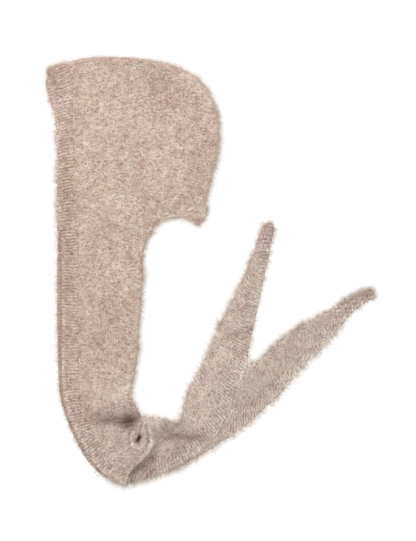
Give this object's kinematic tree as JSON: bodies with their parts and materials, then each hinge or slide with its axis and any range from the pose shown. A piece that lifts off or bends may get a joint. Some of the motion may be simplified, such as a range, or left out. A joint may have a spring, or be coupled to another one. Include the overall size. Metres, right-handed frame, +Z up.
{
  "type": "knitted hooded scarf laid flat",
  "caption": "Knitted hooded scarf laid flat on its side: a hood folded along its centre seam, a ribbed front band and two long tapering scarf arms gathered together once.",
  "frame": {"origin": "on the surface that the scarf lies on, under the middle of its box", "axes": "+Z up from that surface, +Y from the gather towards the crown of the hood, +X from the face opening towards the back of the hood"},
  "size_m": [0.511, 0.6622, 0.023],
  "materials": {
    "brushed_knit": "brushed heathered knit with a long soft nap",
    "seam_knit": "linked knit seam under the nap",
    "rib_knit": "brushed 1x1 rib"
  },
  "bodies": {
    "root": {"near_panel": "brushed_knit", "far_panel": "brushed_knit", "centre_seam": "seam_knit", "front_rib_band": "rib_knit"}
  },
  "joints": []
}
